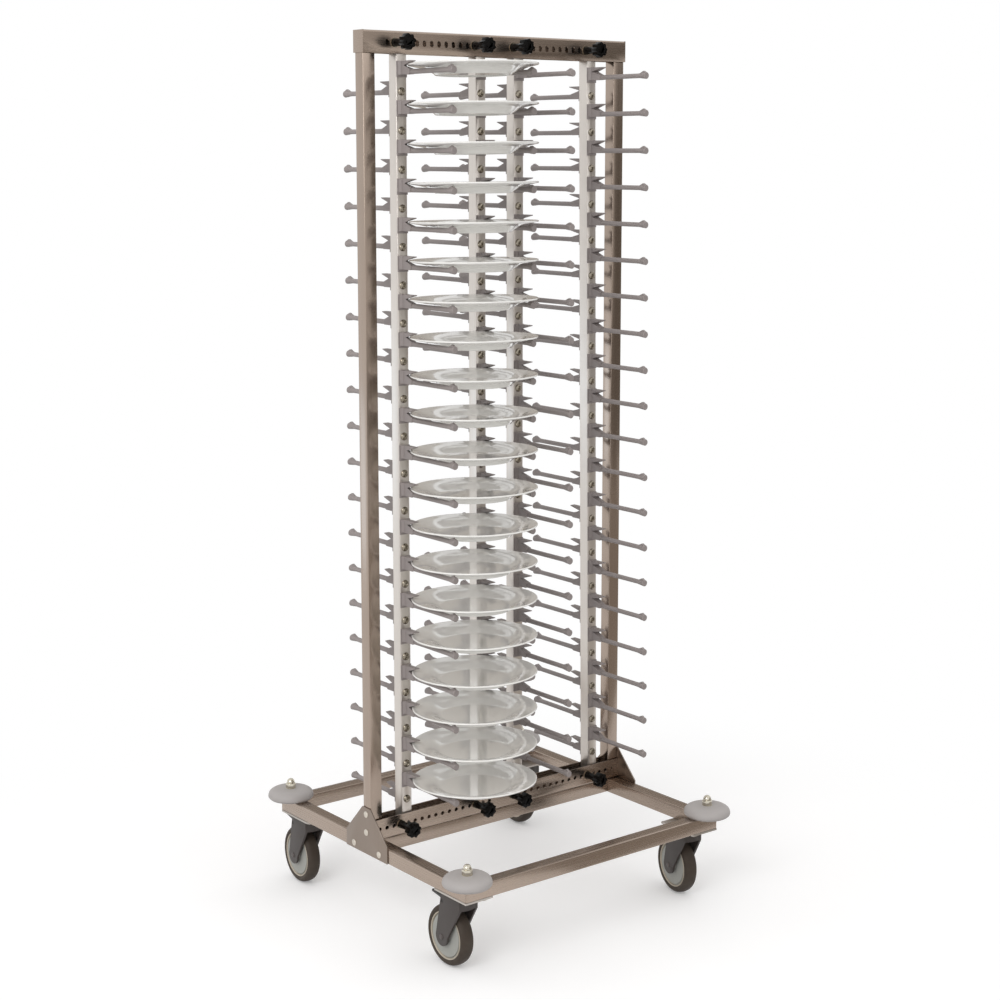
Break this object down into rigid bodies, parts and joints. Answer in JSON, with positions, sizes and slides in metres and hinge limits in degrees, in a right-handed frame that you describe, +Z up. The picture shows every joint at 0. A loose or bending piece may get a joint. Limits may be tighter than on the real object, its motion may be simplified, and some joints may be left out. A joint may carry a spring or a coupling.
{
  "type": "plate rack trolley",
  "caption": "Tall wheeled rack that carries dinner plates level between pairs of upright columns with notched arms.",
  "frame": {"origin": "on the floor under the middle of the base", "axes": "+Z up; +X across the rack along the upright frame; -Y towards the side with the clamping knobs and the loaded plates"},
  "size_m": [0.7499, 0.752, 1.848],
  "materials": {
    "frame_steel": "warm grey brushed stainless steel",
    "column_aluminium": "satin anodised",
    "arm_plastic": "warm grey moulded plastic, satin",
    "bright_fasteners": "polished stainless steel",
    "zinc_steel": "bright zinc plate",
    "bumper_rubber": "grey non-marking rubber",
    "shoe_plastic": "black moulded plastic",
    "knob_plastic": "glossy black moulded plastic",
    "fork_plastic": "dark grey moulded housing",
    "core_plastic": "grey moulded wheel centre",
    "tyre_rubber": "dark grey-brown rubber tread",
    "pedal_plastic": "dark moulded pedal",
    "china": "white glazed porcelain"
  },
  "bodies": {
    "root": {"base_rail_left": "frame_steel", "base_rail_right": "frame_steel", "base_rail_front": "frame_steel", "base_rail_rear": "frame_steel", "base_cross_rail": "frame_steel", "post_left": "frame_steel", "post_right": "frame_steel", "bottom_channel": "frame_steel", "top_channel": "frame_steel", "gusset_left": "frame_steel", "gusset_right": "frame_steel", "gusset_rivets": "bright_fasteners", "castor_mounting_plates": "zinc_steel", "castor_plate_bolts": "zinc_steel", "corner_bumpers": "bumper_rubber", "bumper_cap_nuts": "bright_fasteners", "column_tube_1": "column_aluminium", "column_tube_2": "column_aluminium", "column_tube_3": "column_aluminium", "column_tube_4": "column_aluminium", "plate_arms_1": "arm_plastic", "plate_arms_2": "arm_plastic", "plate_arms_3": "arm_plastic", "plate_arms_4": "arm_plastic", "arm_screws": "bright_fasteners", "clamp_shoes": "shoe_plastic", "knob_washers": "bright_fasteners"},
    "castor_1": {"castor_fork_1": "fork_plastic", "castor_axle_1": "zinc_steel"},
    "wheel_1": {"wheel_core_1": "core_plastic", "tyre_1": "tyre_rubber"},
    "pedal_1": {"brake_pedal_1": "pedal_plastic"},
    "castor_2": {"castor_fork_2": "fork_plastic", "castor_axle_2": "zinc_steel"},
    "wheel_2": {"wheel_core_2": "core_plastic", "tyre_2": "tyre_rubber"},
    "pedal_2": {"brake_pedal_2": "pedal_plastic"},
    "castor_3": {"castor_fork_3": "fork_plastic", "castor_axle_3": "zinc_steel"},
    "wheel_3": {"wheel_core_3": "core_plastic", "tyre_3": "tyre_rubber"},
    "pedal_3": {"brake_pedal_3": "pedal_plastic"},
    "castor_4": {"castor_fork_4": "fork_plastic", "castor_axle_4": "zinc_steel"},
    "wheel_4": {"wheel_core_4": "core_plastic", "tyre_4": "tyre_rubber"},
    "pedal_4": {"brake_pedal_4": "pedal_plastic"},
    "knob_top_1": {"knob_top_1": "knob_plastic"},
    "knob_top_2": {"knob_top_2": "knob_plastic"},
    "knob_top_3": {"knob_top_3": "knob_plastic"},
    "knob_top_4": {"knob_top_4": "knob_plastic"},
    "knob_bottom_1": {"knob_bottom_1": "knob_plastic"},
    "knob_bottom_2": {"knob_bottom_2": "knob_plastic"},
    "knob_bottom_3": {"knob_bottom_3": "knob_plastic"},
    "knob_bottom_4": {"knob_bottom_4": "knob_plastic"},
    "plates": {"plates": "china"}
  },
  "joints": [
    {"name": "castor_swivel_1", "type": "hinge", "parent": "root", "child": "castor_1", "pos_m": [-0.307, -0.28, 0.14], "axis": [0, 0, 1], "continuous": true},
    {"name": "wheel_spin_1", "type": "hinge", "parent": "castor_1", "child": "wheel_1", "pos_m": [-0.307, -0.2454, 0.0625], "axis": [1, 0, 0], "continuous": true},
    {"name": "brake_pedal_1_press", "type": "hinge", "parent": "castor_1", "child": "pedal_1", "pos_m": [-0.307, -0.248, 0.139], "axis": [-1, 0, 0], "range_deg": [0, 10]},
    {"name": "castor_swivel_2", "type": "hinge", "parent": "root", "child": "castor_2", "pos_m": [0.307, -0.28, 0.14], "axis": [0, 0, 1], "continuous": true},
    {"name": "wheel_spin_2", "type": "hinge", "parent": "castor_2", "child": "wheel_2", "pos_m": [0.3136, -0.24604, 0.0625], "axis": [0.9816, -0.1908, 0], "continuous": true},
    {"name": "brake_pedal_2_press", "type": "hinge", "parent": "castor_2", "child": "pedal_2", "pos_m": [0.31311, -0.24859, 0.139], "axis": [-0.9816, 0.1908, 0], "range_deg": [0, 10]},
    {"name": "castor_swivel_3", "type": "hinge", "parent": "root", "child": "castor_3", "pos_m": [-0.307, 0.28, 0.14], "axis": [0, 0, 1], "continuous": true},
    {"name": "wheel_spin_3", "type": "hinge", "parent": "castor_3", "child": "wheel_3", "pos_m": [-0.30459, 0.31452, 0.0625], "axis": [0.9976, -0.0698, 0], "continuous": true},
    {"name": "brake_pedal_3_press", "type": "hinge", "parent": "castor_3", "child": "pedal_3", "pos_m": [-0.30477, 0.31192, 0.139], "axis": [-0.9976, 0.0698, 0], "range_deg": [0, 10]},
    {"name": "castor_swivel_4", "type": "hinge", "parent": "root", "child": "castor_4", "pos_m": [0.307, 0.28, 0.14], "axis": [0, 0, 1], "continuous": true},
    {"name": "wheel_spin_4", "type": "hinge", "parent": "castor_4", "child": "wheel_4", "pos_m": [0.31002, 0.31447, 0.0625], "axis": [0.9962, -0.0872, 0], "continuous": true},
    {"name": "brake_pedal_4_press", "type": "hinge", "parent": "castor_4", "child": "pedal_4", "pos_m": [0.30979, 0.31188, 0.139], "axis": [-0.9962, 0.0872, 0], "range_deg": [0, 10]},
    {"name": "knob_top_1_turn", "type": "hinge", "parent": "root", "child": "knob_top_1", "pos_m": [-0.266, -0.05, 1.825], "axis": [0, -1, 0], "range_deg": [0, 360]},
    {"name": "knob_top_2_turn", "type": "hinge", "parent": "root", "child": "knob_top_2", "pos_m": [-0.068, -0.05, 1.825], "axis": [0, -1, 0], "range_deg": [0, 360]},
    {"name": "knob_top_3_turn", "type": "hinge", "parent": "root", "child": "knob_top_3", "pos_m": [0.032, -0.05, 1.825], "axis": [0, -1, 0], "range_deg": [0, 360]},
    {"name": "knob_top_4_turn", "type": "hinge", "parent": "root", "child": "knob_top_4", "pos_m": [0.23, -0.05, 1.825], "axis": [0, -1, 0], "range_deg": [0, 360]},
    {"name": "knob_bottom_1_turn", "type": "hinge", "parent": "root", "child": "knob_bottom_1", "pos_m": [-0.266, -0.05, 0.217], "axis": [0, -1, 0], "range_deg": [0, 360]},
    {"name": "knob_bottom_2_turn", "type": "hinge", "parent": "root", "child": "knob_bottom_2", "pos_m": [-0.068, -0.05, 0.217], "axis": [0, -1, 0], "range_deg": [0, 360]},
    {"name": "knob_bottom_3_turn", "type": "hinge", "parent": "root", "child": "knob_bottom_3", "pos_m": [0.032, -0.05, 0.217], "axis": [0, -1, 0], "range_deg": [0, 360]},
    {"name": "knob_bottom_4_turn", "type": "hinge", "parent": "root", "child": "knob_bottom_4", "pos_m": [0.248, -0.05, 0.217], "axis": [0, -1, 0], "range_deg": [0, 360]},
    {"name": "plates_lift_out", "type": "slide", "parent": "root", "child": "plates", "axis": [0, -0.9903, 0.1392], "range_m": [0, 0.25]}
  ]
}
